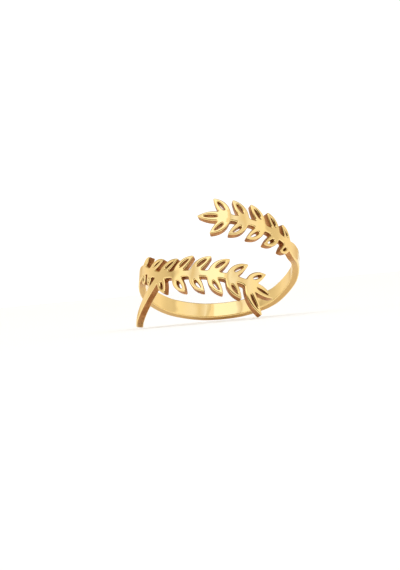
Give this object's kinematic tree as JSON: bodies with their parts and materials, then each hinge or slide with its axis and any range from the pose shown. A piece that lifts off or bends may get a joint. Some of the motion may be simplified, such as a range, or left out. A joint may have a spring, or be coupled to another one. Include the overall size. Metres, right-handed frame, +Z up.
{
  "type": "name ring",
  "caption": "Open gold ring cut from one strip of sheet, whose two wide pierced ends pass each other at the front as leafy branches.",
  "frame": {"origin": "on the surface that the ring lies on, under the middle of its bounding box", "axes": "+Z up from that surface, -Y the side of the pierced ends, finger axis 33 degrees off +Z as the ring rests on its band, the end of a stalk and the tip of a leaf"},
  "size_m": [0.0208, 0.022, 0.015],
  "materials": {
    "gold": "yellow gold plate, polished faces and satin cut edges"
  },
  "bodies": {
    "root": {"ring": "gold"}
  },
  "joints": []
}
